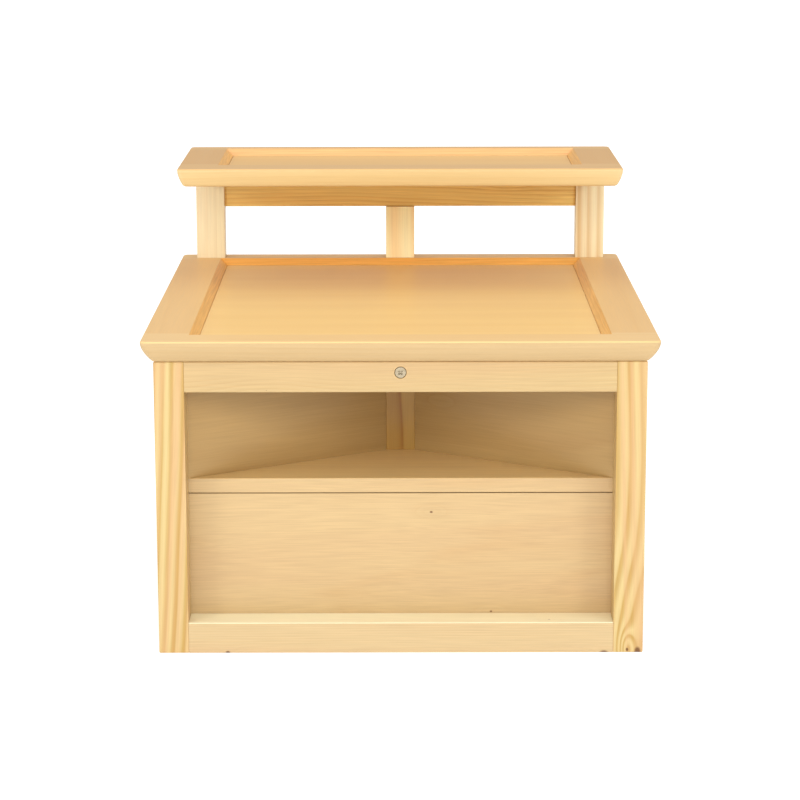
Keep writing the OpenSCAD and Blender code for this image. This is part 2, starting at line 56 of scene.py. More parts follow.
def quads(rows, cols, wrap=False):
    """The four corners of every cell of a grid of points, row by row."""
    i = np.arange(rows * cols).reshape(rows, cols)
    if wrap:
        i = np.hstack([i, i[:, :1]])
    return np.stack([i[:-1, :-1], i[1:, :-1], i[1:, 1:], i[:-1, 1:]], -1).reshape(-1, 4)


def closed_piece(name, verts, cells, caps=()):
    """An object from a grid's cells and its flat caps. Points in the same place become one, a
    cell loses any side of no length, and the faces are turned to the outside."""
    verts = np.asarray(verts, float).reshape(-1, 3)
    _, first, same = np.unique(np.round(verts / 1e-7).astype(np.int64), axis=0,
                               return_index=True, return_inverse=True)
    same = same.reshape(-1)
    cells = same[np.asarray(cells, int).reshape(-1, 4)]
    shut = cells == np.roll(cells, -1, axis=1)
    thin = shut.sum(1) == 1
    faces = cells[shut.sum(1) == 0].tolist() + cells[thin][~shut[thin]].reshape(-1, 3).tolist()
    for cap in caps:
        around = list(dict.fromkeys(same[np.asarray(cap, int)].tolist()))
        if len(around) > 2:
            faces.append(around)
    mesh = bpy.data.meshes.new(name)
    mesh.from_pydata(verts[first].tolist(), [], faces)
    shell = bmesh.new()
    shell.from_mesh(mesh)
    bmesh.ops.recalc_face_normals(shell, faces=shell.faces)
    shell.to_mesh(mesh)
    shell.free()
    mesh.shade_smooth()
    mesh.set_sharp_from_angle(angle=math.radians(40))
    piece = bpy.data.objects.new(name, mesh)
    bpy.context.scene.collection.objects.link(piece)
    # broad faces keep their own normal, and only the eased edges between them turn
    even = piece.modifiers.new("Even shading", "WEIGHTED_NORMAL")
    even.mode, even.keep_sharp = "FACE_AREA", True
    return piece


def outline(corners, radius, inset=0.0, steps=4):
    """A closed outline in two axes. Each corner C, first moved in by inset, becomes the parabola
    (1-t)^2 A + 2t(1-t) C + t^2 B between the points A and B one radius along its two sides."""
    c = np.asarray(corners, float)
    ahead = np.roll(c, -1, 0) - c
    ahead /= np.linalg.norm(ahead, axis=1, keepdims=True)
    behind = np.roll(ahead, 1, 0)
    n1, n2 = (np.stack([-d[:, 1], d[:, 0]], 1) for d in (behind, ahead))
    c = c + inset * (n1 + n2) / (1 + (n1 * n2).sum(1, keepdims=True))
    r = max(radius - inset, 0.1 * radius)
    t = np.linspace(0, 1, steps + 1)[:, None]
    a, b = (c - r * behind)[:, None], (c + r * ahead)[:, None]
    return ((1 - t) ** 2 * a + 2 * t * (1 - t) * c[:, None] + t ** 2 * b).reshape(-1, 2)


def length_of_wood(axis, corners, start, end, radius, ease, stops=()):
    """Points, cells and caps of a length of wood: a rounded outline carried from start to end
    along an axis. At each end it draws in round a quarter circle, so that at angle t it is
    ease (1 - cos t) from the end and ease (1 - sin t) in. Stops are extra rings between."""
    t = np.linspace(0, math.pi / 2, 4)
    rise, draw = ease * (1 - np.cos(t)), ease * (1 - np.sin(t))
    along = np.concatenate([start + rise, stops, (end - rise)[::-1]])
    inset = np.concatenate([draw, np.zeros(len(stops)), draw[::-1]])
    rings = np.stack([outline(corners, radius, i) for i in inset])
    rows, cols = rings.shape[:2]
    verts = np.empty((rows, cols, 3))
    verts[..., AXIS[axis]] = along[:, None]
    verts[..., ACROSS[axis][0]] = rings[..., 0]
    verts[..., ACROSS[axis][1]] = rings[..., 1]
    first = np.arange(cols)
    return verts.reshape(-1, 3), quads(rows, cols, wrap=True), [first, first + (rows - 1) * cols]


def rectangle(low, high, axis):
    """The four corners of a box seen along an axis."""
    a, b = ACROSS[axis]
    return [(low[a], low[b]), (high[a], low[b]), (high[a], high[b]), (low[a], high[b])]


def stepped(levels):
    """Points, cells and caps of a panel whose edge is stepped: at each level (low corner, high
    corner, height) stands a rectangle with small round corners, joined to the next."""
    rings = np.stack([np.insert(outline(rectangle(low, high, "z"), 0.5 * MM), 2, z, axis=1)
                      for low, high, z in levels])
    rows, cols = rings.shape[:2]
    first = np.arange(cols)
    return rings.reshape(-1, 3), quads(rows, cols, wrap=True), [first, first + (rows - 1) * cols]


def bored(shape, centre, into, radius, depth, lip=0.4 * MM, sides=48):
    """The same surface with a round hole, centre + radius (u cos t + v sin t), in the flat cell
    nearest to centre. Each quarter of the rim fans out to one corner of the cell, and each of
    the cell's sides fans to one point of the rim. The hole has a small lip, a wall and a floor."""
    verts, cells, caps = shape
    centre, into = np.asarray(centre, float), np.asarray(into, float)
    k = np.argmin(np.linalg.norm(verts[cells].mean(1) - centre, axis=1))
    corner = cells[k]
    u, v = verts[corner[1]] - verts[corner[0]], verts[corner[3]] - verts[corner[0]]
    u, v = u / np.linalg.norm(u), v / np.linalg.norm(v)
    normal = np.cross(u, v)
    turn = (np.arange(sides) * 2 * math.pi / sides)[:, None]
    spoke = np.cos(turn) * u + np.sin(turn) * v
    spoke -= np.outer(spoke @ normal, into) / (into @ normal)
    rings = [centre + (radius + lip) * spoke, centre + radius * spoke + into * lip,
             centre + radius * spoke + into * depth]
    base = len(verts)
    rim = base + np.arange(sides)
    quarter = corner[[2, 3, 0, 1]]        # the corners at +u+v, -u+v, -u-v and +u-v
    owner = quarter[np.arange(sides) * 4 // sides]
    fans = np.stack([rim, owner, owner, np.roll(rim, -1)], 1)
    spans = np.stack([np.roll(quarter, 1), quarter, quarter, rim[np.arange(4) * sides // 4]], 1)
    cells = np.concatenate([np.delete(cells, k, 0), fans, spans, base + quads(3, sides, wrap=True)])
    return np.concatenate([verts] + rings), cells, list(caps) + [rim + 2 * sides]


def tray_edge(thick, undercut, arris=2.5 * MM, power=1.7, lower=2.2 * MM):
    """The outer edge of a tray frame as inset and height, from its underside to its top: a small
    lower corner, a face whose inset is undercut s^power, and a quarter round arris."""
    s = np.linspace(1 - lower / thick, 0, 12)
    a = np.linspace(math.pi / 2, 0, 7)[1:]
    inset = np.concatenate([[undercut + lower, undercut + 0.35 * lower], undercut * s ** power,
                            arris * (1 - np.sin(a))])
    height = np.concatenate([[-thick, 0.3 * lower - thick], -arris - (thick - arris) * s,
                             -arris * (1 - np.cos(a))])
    return inset, height


def tray_levels(thick, undercut, corner_r, side, end, depth):
    """The levels round a tray frame's section: inset from the side, inset from the front or back,
    height, and corner radius. After the outer edge come the flat rim, the 45 degree bevel and
    the inner wall, which stands under the bevel's foot."""
    inset, height = tray_edge(thick, undercut)
    radius = corner_r * (1 - 0.6 * inset / undercut).clip(0.3, 1)
    soft = 0.5 * MM
    x = np.concatenate([inset, side + np.array([-soft, 0.3 * soft, depth, depth])])
    y = np.concatenate([inset, end + np.array([-soft, 0.3 * soft, depth, depth])])
    z = np.concatenate([height, [0, -0.6 * soft, -depth, -thick]])
    return x, y, z, np.concatenate([radius, [MM, MM, 0.6 * MM, 0.6 * MM]])


def tray_rail(low, high, facing, levels, cut, steps=6):
    """A tray frame's front or back rail, its ends round both corners. At each level the outline
    runs from the cut on the right, round the parabolas of its two corners, to the cut on the
    left. Rows follow that outline and columns go round the section."""
    x, y, z, r = (a[None] for a in levels)
    t = np.linspace(0, 1, steps + 1)[:, None]
    edge = high[1] if facing > 0 else -low[1]          # worked out as if it faced +Y
    right, outer = high[0] - x, edge - y
    bend_x = right - r * t ** 2
    bend_y = outer - r * (1 - t) ** 2
    both = low[0] + high[0]                            # x mirrors to both - x
    start = np.concatenate([right, bend_x, (both - bend_x)[::-1], both - right])
    reach = np.concatenate([cut + 0 * outer, bend_y, bend_y[::-1], cut + 0 * outer])
    reach = np.maximum(reach, cut)
    verts = np.stack([start, facing * reach, np.broadcast_to(high[2] + z, start.shape)], -1)
    rows, cols = start.shape
    first = np.arange(cols)
    return verts.reshape(-1, 3), quads(rows, cols, wrap=True), [first, first + (rows - 1) * cols]


def tray_stile(low, high, side, levels, start, end):
    """A tray frame's stile: the same section carried straight between the two rails."""
    x, _, z, _ = levels
    edge = high[0] if side > 0 else -low[0]
    section = np.stack([side * (edge - x), np.broadcast_to(high[2] + z, x.shape)], 1)
    verts = np.stack([np.insert(section, 1, y, axis=1) for y in (start, end)])
    first = np.arange(len(x))
    return verts.reshape(-1, 3), quads(2, len(x), wrap=True), [first, first + len(x)]


CAM_RIM = 0.09                    # rounding of a cam's rim, in radii
RECESS = 2.2 * MM                 # depth of its cross recess
ARM_LONG, ARM_WIDE, ARM_WALL = 3.1 * MM, 0.75 * MM, 0.35 * MM     # half bars and sloping wall
RECESS_MIDDLE = 1.5 * MM          # radius of the round pit where the bars cross
CAM_FACE, CAM_WALL = 3.5 * MM, 1.6 * MM                           # metal round the hollow
OPENING = np.array([4.5, 5.5, 9.9, 10.9]) * MM  # depths: exit, slot, slot, exit
SLOT_FROM, EXIT_FROM, SLOT_TO = 67.5, 217.5, 262.5                # degrees round the wall


def cam_face(radius, t):
    """Rings of points over a cam's face, at radius q and angle t: RECESS deep inside the two
    bars and 0 outside, with sloping walls, and curving back round the rim."""
    q = np.concatenate([np.linspace(0, 0.62, 26), np.linspace(0.66, 0.9, 5),
                        1 - CAM_RIM * np.cos(np.linspace(0, math.pi / 2, 5))]) * radius
    a, b = q[:, None] * np.cos(t), q[:, None] * np.sin(t)
    arm = np.stack([(a + b) / math.sqrt(2), (a - b) / math.sqrt(2)])
    out = np.maximum(np.abs(arm) - ARM_LONG, np.abs(arm[::-1]) - ARM_WIDE).min(0)
    pit = np.hypot(a, b) - RECESS_MIDDLE
    depth = RECESS * np.clip(0.5 - np.minimum(out, pit) / ARM_WALL, 0, 1)
    past = ((np.hypot(a, b) / radius - (1 - CAM_RIM)) / CAM_RIM).clip(0, 1)
    depth += CAM_RIM * radius * (1 - np.sqrt(1 - past ** 2))
    return np.stack([a, depth, b], -1)


def cam_disc(centre, radius, length, outward):
    """A cam: its face, and a hollow body behind it. At angle t a point lies outward q cos t
    along X and q sin t up. The body's wall is open along a slot for the bolt's neck, which
    widens at its far end to let the bolt's head out."""
    t = np.linspace(0, 2 * math.pi, 96, endpoint=False)
    face = cam_face(radius, t)
    inner = radius - CAM_WALL
    r = np.repeat([radius, inner, 0], [5, 6, 1])[:, None]
    y = np.concatenate([OPENING, [length, length], OPENING[::-1], [CAM_FACE, CAM_FACE]])[:, None]
    body = np.stack(np.broadcast_arrays(r * np.cos(t), y, r * np.sin(t)), -1)
    verts = np.concatenate([face, body]) * [outward, -outward, 1] + centre
    n, cols = len(face), len(t)
    cells = quads(n + len(body), cols, wrap=True).reshape(-1, cols, 4)
    slot, out, stop = (round(angle * cols / 360) for angle in (SLOT_FROM, EXIT_FROM, SLOT_TO))
    open_wall = np.zeros((3, cols), bool)       # in each band between two of the depths
    open_wall[1, slot:stop] = open_wall[:, out:stop] = True
    # a band is row n + band of the skin outside, and row n + 8 - band inside
    kept = np.ones(cells.shape[:2], bool)
    kept[n:n + 3], kept[n + 6:n + 9] = ~open_wall, ~open_wall[::-1]
    # the opening's own walls, from skin to skin: along the depths, then along the columns
    shut = np.zeros((1, cols), bool)
    line, j = np.nonzero(np.vstack([shut, open_wall]) != np.vstack([open_wall, shut]))
    beside = (j + 1) % cols
    outside, inside = (n + line) * cols, (n + 9 - line) * cols
    along = np.stack([outside + j, outside + beside, inside + beside, inside + j], -1)
    band, j = np.nonzero(open_wall != np.roll(open_wall, 1, axis=1))
    rows = np.stack([n + band, n + band + 1, n + 8 - band, n + 9 - band], -1)
    cells = np.concatenate([cells[kept], along, rows * cols + j[:, None]])
    return verts.reshape(-1, 3), cells, ()


# ---- finishes ----


def shade(hexed):
    """An sRGB hex colour as linear light, by the sRGB curve."""
    c = np.array([int(hexed[i:i + 2], 16) for i in (1, 3, 5)]) / 255
    linear = np.where(c <= 0.04045, c / 12.92, ((c + 0.055) / 1.055) ** 2.4)
    return (*linear.tolist(), 1.0)


def put(tree, kind, feeds=None, **settings):
    """Adds a node with its settings, and feeds its sockets with values or other sockets."""
    made = tree.nodes.new("ShaderNode" + kind)
    for name, value in settings.items():
        setattr(made, name, value)
    for socket, value in (feeds or {}).items():
        if isinstance(value, bpy.types.NodeSocket):
            tree.links.new(value, made.inputs[socket])
        else:
            made.inputs[socket].default_value = value
    return made


def new_finish(name):
    """A material with an empty node tree, its object coordinates and its shader."""
    finish = bpy.data.materials.new(name)
    finish.use_nodes = True
    tree = finish.node_tree
    tree.nodes.clear()
    shader = put(tree, "BsdfPrincipled")
    put(tree, "OutputMaterial", {"Surface": shader.outputs[0]})
    return finish, tree, put(tree, "TexCoord").outputs["Object"], shader


def ramp_of(tree, fac, stops):
    """A ramp through (place, grey) stops."""
    made = put(tree, "ValToRGB", {"Fac": fac})
    while len(made.color_ramp.elements) < len(stops):
        made.color_ramp.elements.new(0.5)
    for element, (place, grey) in zip(made.color_ramp.elements, stops):
        element.position = place
        element.color = (grey, grey, grey, 1)
    return made.outputs[0]


TURN = {"x": (0, 0, 0), "y": (0, 0, -math.pi / 2), "z": (0, math.pi / 2, 0)}  # grain to X
LINES = [(0, 0.12), (0.12, 0), (0.4, 0.1), (0.75, 0.5), (0.92, 1), (1, 0.12)]   # late wood lines
BANDS = [(0, 0.3), (0.15, 0), (0.42, 0.2), (0.6, 1), (0.8, 0.8), (1, 0.3)]      # soft stripes
KNOT = "#5a3216"


def pine(name, grain, heart, ring, early, late, blush, sway=6.0, figure=0.8, least=0.15, fibre=0.05,
         patch=0.5, patch_mm=50, rings=LINES, knots=(), seed=0.0, rough=0.42, shine=0.3, coat=0.15):
    """Clear-lacquered pine, planed and sanded. Growth rings are tubes round the heart, a line
    along the grain at (a, b) mm across it, and ring is their spacing in mm. In each ring pale
    early wood darkens to a late wood line. The rings sway sideways by about sway mm along a
    board, and are pushed out by two rings within reach mm of each knot (x, y, z, radius, reach
    in mm). Fibres run along the grain, drawn 1.3 mm wide, some ten times as coarse as real
    ones, so that they show. The lacquer is a thin level coat over them, which gives the soft
    gloss."""
    finish, tree, place, shader = new_finish(name)
    turn = TURN.get(grain, grain)
    shift = Matrix.Translation((seed, -heart[0] * MM, -heart[1] * MM))
    along = put(tree, "Mapping", {"Vector": place, "Rotation": turn,
                                  "Location": shift.translation}).outputs[0]

    def scaled(vector, *by):
        return put(tree, "VectorMath", {0: vector, 1: by}, operation="MULTIPLY").outputs[0]

    def sized(vector):
        return put(tree, "VectorMath", {0: vector}, operation="LENGTH").outputs["Value"]

    def sums(kind, *values):
        return put(tree, "Math", dict(enumerate(values)), operation=kind).outputs[0]

    # a slow noise pushes the rings sideways, as the trunk grew
    bend = put(tree, "TexNoise", {"Vector": scaled(along, 1.7, 8, 8), "Scale": 1.0, "Detail": 2.0,
                                  "Roughness": 0.4}).outputs[1]
    push = put(tree, "VectorMath", {0: bend, 1: (0.5, 0.5, 0.5)}, operation="SUBTRACT").outputs[0]
    push = scaled(push, 0, 3 * sway * MM, 3 * sway * MM)
    bent = put(tree, "VectorMath", {0: along, 1: push}, operation="ADD").outputs[0]
    count = sized(scaled(bent, 0, 1 / (ring * MM), 1 / (ring * MM)))
    frame_turn = shift @ Matrix.Rotation(turn[2], 4, "Z") @ Matrix.Rotation(turn[1], 4, "Y")
    dark = []
    for x, y, z, size, reach in knots:
        centre = frame_turn @ Matrix.Translation((x * MM, y * MM, z * MM))
        off = put(tree, "VectorMath", {0: along, 1: centre.translation},
                  operation="SUBTRACT").outputs[0]
        # the rings move out by e^(-(distance / reach)^2) of two rings
        near = sums("POWER", sized(scaled(off, 0.4 / (reach * MM), *(1 / (reach * MM),) * 2)), 2.0)
        count = sums("MULTIPLY_ADD", sums("POWER", math.e ** -1, near), 2.2, count)
        away = sized(scaled(off, 0.7 / (size * MM), *(1 / (size * MM),) * 2))
        dark.append(put(tree, "MapRange", {"Value": away, "From Min": 0.5, "From Max": 1.0,
                                           "To Min": 0.85, "To Max": 0.0}).outputs[0])
    band = ramp_of(tree, sums("FRACT", count), rings)
    fade = put(tree, "TexNoise", {"Vector": scaled(bent, 2.5, 45, 45), "Scale": 1.0, "Detail": 1.0})
    fade = put(tree, "MapRange", {"Value": fade.outputs[0], "From Min": 0.3, "From Max": 0.7,
                                  "To Min": least * figure, "To Max": figure}).outputs[0]
    line = sums("MULTIPLY", band, fade)
    wood = put(tree, "Mix", {0: line, 6: shade(early), 7: shade(late)}, data_type="RGBA").outputs[2]
    across = 1 / (patch_mm * MM)
    wide = put(tree, "TexNoise", {"Vector": scaled(along, 1.5, across, across), "Scale": 1.0,
                                  "Detail": 1.0}).outputs[0]
    wide = put(tree, "MapRange", {"Value": wide, "From Min": 0.38, "From Max": 0.64,
                                  "To Min": 0.0, "To Max": patch}).outputs[0]
    wood = put(tree, "Mix", {0: wide, 6: wood, 7: shade(blush)}, data_type="RGBA").outputs[2]
    fine = put(tree, "TexNoise", {"Vector": scaled(bent, 14, 760, 760), "Scale": 1.0,
                                  "Detail": 2.0}).outputs[0]
    streak = put(tree, "MapRange", {"Value": fine, "From Min": 0.3, "From Max": 0.7,
                                    "To Min": 1 - fibre, "To Max": 1 + fibre}).outputs[0]
    wood = put(tree, "VectorMath", {0: wood, "Scale": streak}, operation="SCALE").outputs[0]
    for mask in dark:
        wood = put(tree, "Mix", {0: mask, 6: wood, 7: shade(KNOT)}, data_type="RGBA").outputs[2]
    bump = put(tree, "Bump", {"Height": sums("MULTIPLY_ADD", line, 0.6, fine), "Strength": 0.12,
                              "Distance": 0.3 * MM}).outputs[0]
    dull = put(tree, "MapRange", {"Value": fine, "To Min": rough - 0.05, "To Max": rough + 0.07})
    tree.links.new(wood, shader.inputs["Base Color"])
    tree.links.new(dull.outputs[0], shader.inputs["Roughness"])
    tree.links.new(bump, shader.inputs["Normal"])
    shader.inputs["Specular IOR Level"].default_value = shine
    shader.inputs["Coat Weight"].default_value = coat
    shader.inputs["Coat Roughness"].default_value = 0.15
    return finish


def beech(name):
    """Turned beech dowel rod: even pinkish tan with short dark flecks 2 mm long, unlacquered."""
    finish, tree, place, shader = new_finish(name)
    spot = put(tree, "TexNoise", {"Vector": place, "Scale": 1 / (2 * MM), "Detail": 1.0}).outputs[0]
    fleck = put(tree, "MapRange", {"Value": spot, "From Min": 0.56, "From Max": 0.68}).outputs[0]
    wood = put(tree, "Mix", {0: fleck, 6: shade("#d9b07c"), 7: shade("#a97a4a")}, data_type="RGBA")
    bump = put(tree, "Bump", {"Height": spot, "Strength": 0.15, "Distance": 0.2 * MM}).outputs[0]
    tree.links.new(wood.outputs[2], shader.inputs["Base Color"])
    tree.links.new(bump, shader.inputs["Normal"])
    shader.inputs["Roughness"].default_value = 0.6
    return finish


def metal(name, light, deep, grain_mm, rough_low, rough_high, dent):
    """Bare or plated metal: a cloudy grain of the given size moves its colour between two greys
    and its roughness between two values, and dents it slightly."""
    finish, tree, place, shader = new_finish(name)
    cloud = put(tree, "TexNoise", {"Vector": place, "Scale": 1 / (grain_mm * MM), "Detail": 3.0})
    tone = put(tree, "Mix", {0: cloud.outputs[0], 6: shade(light), 7: shade(deep)},
               data_type="RGBA")
    worn = put(tree, "MapRange", {"Value": cloud.outputs[0], "To Min": rough_low,
                                  "To Max": rough_high})
    bump = put(tree, "Bump", {"Height": cloud.outputs[0], "Strength": dent, "Distance": 0.1 * MM})
    tree.links.new(tone.outputs[2], shader.inputs["Base Color"])
    tree.links.new(worn.outputs[0], shader.inputs["Roughness"])
    tree.links.new(bump.outputs[0], shader.inputs["Normal"])
    shader.inputs["Metallic"].default_value = 1.0
    return finish


# pale sapwood, upright and leaning a little, its rings across the face: broad soft stripes
LEG = dict(rings=BANDS, early="#c7b07a", late="#aa843b", blush="#c49d70", figure=1.0, least=0.7,
           patch_mm=11, patch=0.7)
LEFT_LEG = pine("Lacquered pine, left legs", grain=(0, math.radians(87), 0), heart=(-900, -150),
                ring=8.5, seed=0.3, sway=7, **LEG)
RIGHT_LEG = pine("Lacquered pine, right legs", grain=(0, math.radians(92), 0), heart=(700, 260),
                 ring=8.5, seed=1.7, sway=7,
                 knots=[(317, -344, 2, 5, 55), (303, -344, 4, 2.2, 10)], **LEG)
# The posts' front faces are painted lighter than their sides and backs. This painted light makes up
# for the shade under the shelf, and is strongest on the centre post.
POST = dict(grain="z", early="#ecdfb8", late="#cfa86b", blush="#e6d0aa")
PLAIN_POST_PAINTED_LIGHT = pine("Lacquered pine, plain post, front painted light", heart=(300, 900), ring=14, figure=0.25, **POST)
CENTRE_POST_PAINTED_LIGHT = pine("Lacquered pine, centre post, front painted light", grain="z", heart=(-500, 200), ring=7.5,
                   figure=0.7, rings=BANDS, least=0.5, seed=2.9, sway=3,
                   early="#f6f1c2", late="#f2c582", blush="#f6e3b0")
STRIPED_POST_PAINTED_LIGHT = pine("Lacquered pine, striped posts, fronts painted light", heart=(-500, 200), ring=7.5, figure=0.9,
                    rings=BANDS, least=0.5, seed=2.2, sway=3, **POST)
POST_SIDES = pine("Lacquered pine, sides and backs of posts", grain="z", heart=(-500, 200),
                  ring=7.5, rings=BANDS, least=0.5, figure=0.6, seed=2.2, sway=3, early="#d8c48f",
                  late="#bd9559", blush="#d0b380")
RAIL = dict(grain="x", early="#bca273", late="#ab854c", blush="#b9966c", fibre=0.06)
TOP_RAIL = pine("Lacquered pine, top rails", heart=(-330, 700), ring=7, seed=0.9, sway=9,
                figure=0.38, knots=[(-176, -344, 360, 0.5, 34), (60, -344, 352, 0.5, 40)], **RAIL)
BOTTOM_RAIL = pine("Lacquered pine, bottom rails", heart=(-330, -300), ring=3.6, seed=3.1, sway=3,
                   grain="x", figure=0.45, fibre=0.06,
                   early="#c1a97f", late="#b08a54", blush="#be9e76",
                   knots=[(-232, -344, 1, 2.6, 8), (272, -344, -1, 5, 8)])
# The upward faces of the bottom rails are painted paler than the rails' fronts: painted light where
# the overhead light falls on them.
RAIL_TOP_PAINTED_LIGHT = pine("Lacquered pine, upper edges of the bottom rails", heart=(-330, -300), ring=3.6,
                 grain="x", seed=3.1, figure=0.3, knots=[(199, -330, 41, 1.8, 6)],
                 early="#ede3be", late="#ddc592", blush="#ead9b0")
CROSS_RAIL = pine("Lacquered pine, side rails", grain="y", heart=(260, 500), ring=6, seed=4.1,
                  early="#c5aa7d", late="#b48b53", blush="#c29e75", figure=0.5)
FACE_PANEL = pine("Lacquered pine, front panel", heart=(500, 120), ring=11, seed=5.2, sway=12,
                  figure=0.35, grain="x", fibre=0.07,
                  early="#c0a477", late="#b48c59", blush="#bb9b71",
                  knots=[(41, -299, 183, 1.8, 8), (122, -299, 44, 1.5, 6)])
NICHE_FLOOR = pine("Lacquered pine, niche floor", heart=(500, 120), ring=11, seed=5.9, sway=12,
                   figure=0.35, grain="x", fibre=0.07,
                   early="#d4b57b", late="#c4995a", blush="#c9a773")
SIDE_PANEL = pine("Lacquered pine, side panels", grain="y", heart=(-600, 150), ring=9, seed=6.4,
                  figure=0.5, early="#c5a97a", late="#b68d55", blush="#c0a074", sway=12)
INNER = pine("Lacquered pine, boards inside", grain="x", heart=(0, -400), ring=9, seed=7.7,
             figure=0.5, early="#c1a374", late="#b0874f", blush="#bb996f")
# The niche walls are painted darker than the pine elsewhere: painted shade for the dim niche under
# the worktop.
WALL = dict(ring=8.0, figure=0.4, early="#aa8a56", late="#977342", blush="#9a7946")
LEFT_WALL_PAINTED_SHADE = pine("Lacquered pine, left niche wall, painted shade", grain=(0, 0, math.radians(-32)), seed=8.1,
                 heart=(500, 300), **WALL)
RIGHT_WALL_PAINTED_SHADE = pine("Lacquered pine, right niche wall, painted shade", grain=(0, 0, math.radians(32)), seed=8.9,
                  heart=(500, 330), knots=[(60, -150, 305, 1.8, 10)], **WALL)
# The niche's corner post is painted darker still, over its own grain: painted shade at the back of
# the niche.
CORNER_POST_PAINTED_SHADE = pine("Lacquered pine, niche corner post, painted shade", grain="z", seed=9.4, heart=(140, 60), ring=7,
              figure=0.9, early="#b08d4a", late="#895720", blush="#a67d3e")
TOP = dict(figure=0.25, fibre=0.03, shine=0.18, coat=0.08)
FRONT_FACE = pine("Lacquered pine, faces of the tray rails", grain="x", heart=(0, -700), ring=8,
                  seed=10.3, early="#bda277", late="#b2905e", blush="#b99c6f",
                  **{**TOP, "figure": 0.4})
TOP_RAILS = pine("Lacquered pine, tray rails", grain="x", heart=(0, -700), ring=10, seed=10.3,
                 early="#e4bf86", late="#d7a96b", blush="#dfb77d", **TOP)
TOP_STILES = pine("Lacquered pine, tray stiles", grain="y", heart=(0, -900), ring=12, seed=11.6,
                  early="#e2b97d", late="#d5a463", blush="#dcb174", **TOP)
TOP_PANEL = pine("Lacquered pine, tray panels", grain="x", heart=(200, -900), ring=16, seed=12.2,
                 early="#eac482", late="#dfb367", blush="#e5bc7c", **{**TOP, "fibre": 0.02})
# the bevels are cut across the rings and drink more lacquer: deeper and warmer
BEVEL = dict(figure=0.6, fibre=0.12, shine=0.18, coat=0.08)
RAIL_BEVEL = pine("Lacquered pine, bevels of the tray rails", grain="x", heart=(0, -700), ring=5,
                  seed=10.3, early="#e7af5c", late="#d68e3f", blush="#e2a252", **BEVEL)
STILE_BEVEL = pine("Lacquered pine, bevels of the tray stiles", grain="y", heart=(0, -900), ring=5,
                   seed=11.6, early="#e9b86e", late="#cf9148", blush="#dea55a", **BEVEL)
SHELF_FACE = pine("Lacquered pine, faces of the shelf rails", grain="x", heart=(0, -700), ring=8,
                  seed=14.2, early="#d6bc8a", late="#cba86e", blush="#d2b580",
                  **{**TOP, "figure": 0.4})
SHELF_RAILS = pine("Lacquered pine, shelf rails", grain="x", heart=(0, -700), ring=8, seed=14.2,
                   early="#d8b079", late="#cd9e60", blush="#d4ab71", **TOP)
SHELF_STILES = pine("Lacquered pine, shelf stiles", grain="y", heart=(0, -900), ring=12, seed=15.1,
                    early="#d4a971", late="#ca9759", blush="#d1a469", **TOP)
SHELF_PANEL = pine("Lacquered pine, shelf panel", grain="x", heart=(200, -900), ring=16, seed=16.4,
                   early="#deb576", late="#d4a55d", blush="#daae71", **{**TOP, "fibre": 0.02})
SHELF_BEVEL = pine("Lacquered pine, bevels of the shelf rails", grain="x", heart=(0, -700), ring=5,
                   seed=14.2, early="#eab77d", late="#d99657", blush="#e5aa6f", **BEVEL)
# The apron's warm orange is its own, but its front is painted lighter: painted light against the
# shade under the shelf.
APRON_PAINTED_LIGHT = pine("Lacquered pine, apron, front painted light", grain="x", heart=(300, 380), ring=7, seed=13.9, sway=16,
             early="#edce7b", late="#c8933b", blush="#e4b464", figure=0.9, fibre=0.08,
             knots=[(167, 328, 550, 4.5, 12)])
DOWEL = beech("Turned beech, dowels")
# The cams' beige greys are zinc grey warmed by a painted reflection of the surrounding wood.
ZINC_PAINTED_REFLECTION = metal("Die-cast zinc, cams, warm painted reflection", "#cdc0a6", "#a39478", 1.2, 0.36, 0.52, 0.2)
STEEL = metal("Bright zinc plated steel, screws and bolts", "#c9c9cd", "#9a9ba2", 3.0,
              0.22, 0.4, 0.08)



# ---- the pieces ----

BENCH = "bench"


def dress(piece, node, finish, body=BENCH):
    """Gives a piece its finish and its body, and hides the node that it stands for."""
    piece.data.materials.append(finish)
    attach(piece, body)
    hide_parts(node)


def board(node, axis, finish, radius=0.8, ease=0.4, corners=None, bores=()):
    """A length of wood in a node's box, or with the given corners, and its bored holes."""
    low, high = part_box(node)
    k = AXIS[axis]
    corners = corners or rectangle(low, high, axis)
    stops = [b[0][k] + s * 1.6 * b[2] for b in bores for s in (-1, 1)]
    shape = length_of_wood(axis, corners, low[k], high[k], radius * MM, ease * MM, sorted(stops))
    for bore in bores:
        shape = bored(shape, *bore)
    piece = closed_piece("wood_" + node, *shape)
    dress(piece, node, finish)
    return piece


def second_finish(piece, finish, axis, least, most, below=1):
    """Gives the faces whose normal's part along an axis is between least and most, and whose
    middle is under a height, their own finish."""
    faces = piece.data.polygons
    normal, centre = np.empty(3 * len(faces)), np.empty(3 * len(faces))
    faces.foreach_get("normal", normal)
    faces.foreach_get("center", centre)
    part = normal[AXIS[axis]::3]
    chosen = (part > least) & (part < most) & (centre[2::3] < below)
    worn = np.empty(len(faces), np.int32)
    faces.foreach_get("material_index", worn)
    worn[chosen] = len(piece.data.materials)
    piece.data.materials.append(finish)
    faces.foreach_set("material_index", worn)


def mirrored(corners):
    """The same corners on the other side, still in anticlockwise order."""
    return [(-x, y) for x, y in reversed(corners)]


leg_low, leg_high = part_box("front_right_leg")          # its inner corner is (low x, high y)
leg_in, leg_back = leg_low.x, leg_high.y
rear_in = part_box("rear_right_leg")[0].y
rail_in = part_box("right_top_rail")[0].x

